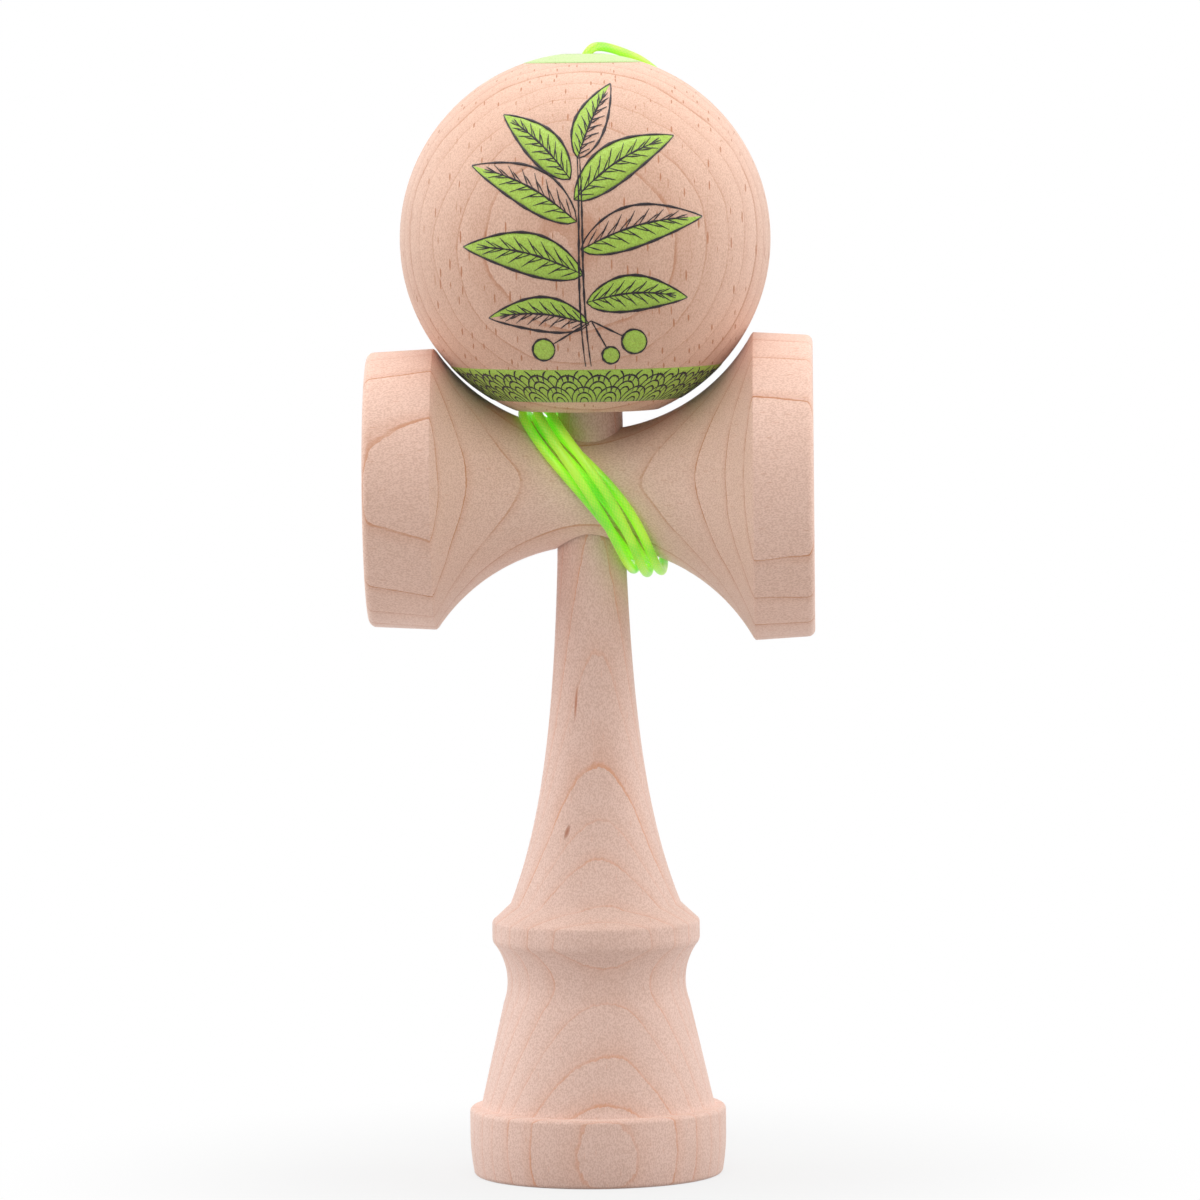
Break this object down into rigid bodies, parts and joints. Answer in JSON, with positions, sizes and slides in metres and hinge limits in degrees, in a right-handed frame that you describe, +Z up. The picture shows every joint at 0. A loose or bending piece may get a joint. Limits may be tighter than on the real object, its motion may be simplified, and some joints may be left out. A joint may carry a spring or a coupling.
{
  "type": "kendama",
  "caption": "Wooden cup-and-ball toy: turned handle with base cup and spike, cross piece with a big and a small cup, bored ball stored on the spike, string wound round the cross piece",
  "frame": {"origin": "middle of the base rim, on the surface the object stands on", "axes": "+Z up along the ken and out of the spike, +X out of the big cup, -Y to the front"},
  "size_m": [0.073, 0.0606, 0.1858],
  "materials": {
    "ken_maple": "fine sanded, bare pale maple",
    "sarado_maple": "fine sanded, bare pale maple",
    "tama_beech": "fine sanded, bare pinkish beech with a green painted band and cap",
    "bead_wood": "bare turned wood",
    "string_cord": "smooth satin woven cord, bright green"
  },
  "bodies": {
    "ken": {"ken": "ken_maple", "sarado": "sarado_maple", "ken_knot": "string_cord", "string_in_ken": "string_cord", "string_winding": "string_cord", "string_run": "string_cord"},
    "string_end": {"string_in_tama": "string_cord", "tama_knot": "string_cord"},
    "tama": {"tama": "tama_beech"},
    "bead": {"bead": "bead_wood"}
  },
  "joints": [
    {"name": "tama_lift", "type": "slide", "parent": "ken", "child": "string_end", "axis": [0, 0, 1], "range_m": [0, 0.045], "deforming": ["string_run"]},
    {"name": "tama_spin", "type": "hinge", "parent": "string_end", "child": "tama", "pos_m": [-0.0005, 0, 0.154], "axis": [0, 0, 1], "continuous": true},
    {"name": "bead_spin", "type": "hinge", "parent": "string_end", "child": "bead", "pos_m": [-0.0005, 0, 0.171], "axis": [0, 0, 1], "continuous": true}
  ]
}
